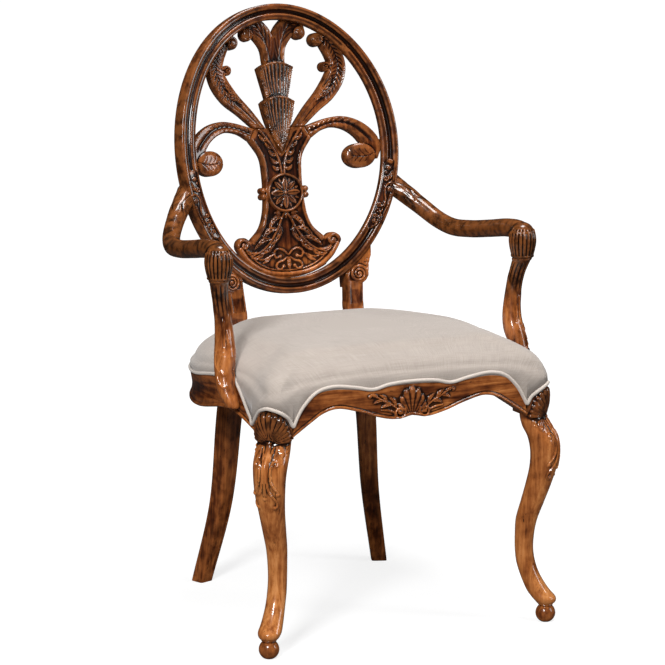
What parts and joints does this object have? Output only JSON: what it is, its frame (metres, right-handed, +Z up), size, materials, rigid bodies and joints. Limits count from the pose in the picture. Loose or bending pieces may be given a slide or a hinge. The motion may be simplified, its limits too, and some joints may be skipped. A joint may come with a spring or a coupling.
{
  "type": "dining armchair",
  "caption": "Carved oval-back dining armchair with a pierced splat, open scrolled arms, cabriole front legs, sabre rear legs and a tight upholstered seat with welt.",
  "frame": {"origin": "on the floor, under the middle of the chair's overall box", "axes": "+Z up, -Y towards the front of the seat, +X to the right for someone who faces the chair from the front"},
  "size_m": [0.629, 0.6292, 1.06],
  "materials": {
    "walnut": "dark walnut with worn golden high spots, dark glaze in the carving and a glossy lacquer",
    "beech": "bare beech",
    "linen": "pale grey-beige linen weave",
    "webbing": "woven jute webbing",
    "foam": "cut upholstery foam",
    "dust_cloth": "black non-woven dust cloth",
    "steel": "plain steel screws"
  },
  "bodies": {
    "root": {"oval_crest": "walnut", "oval_shoulder_left": "walnut", "oval_shoulder_right": "walnut", "oval_flank_left": "walnut", "oval_flank_right": "walnut", "oval_base": "walnut", "oval_dowels": "beech", "splat_panel": "walnut", "splat_medallion": "walnut", "center_sheaf": "walnut", "inner_scroll_left": "walnut", "inner_scroll_right": "walnut", "outer_scroll_left": "walnut", "outer_scroll_right": "walnut", "splat_dowels": "beech", "arm_left": "walnut", "arm_right": "walnut", "arm_support_left": "walnut", "arm_support_right": "walnut", "arm_dowels": "beech", "arm_support_screws": "steel", "post_dowels": "beech", "front_leg_left": "walnut", "front_leg_right": "walnut", "foot_ball_left": "walnut", "foot_ball_right": "walnut", "rear_leg_left": "walnut", "rear_leg_right": "walnut", "front_rail": "walnut", "rear_rail": "walnut", "side_rail_left": "walnut", "side_rail_right": "walnut", "front_corner_block_left": "beech", "front_corner_block_right": "beech", "rear_corner_block_left": "beech", "rear_corner_block_right": "beech", "corner_block_screws": "steel", "webbing_lengthwise": "webbing", "webbing_crosswise": "webbing", "dust_cover": "dust_cloth", "seat_foam": "foam", "seat_cover": "linen", "seat_welt": "linen"}
  },
  "joints": []
}
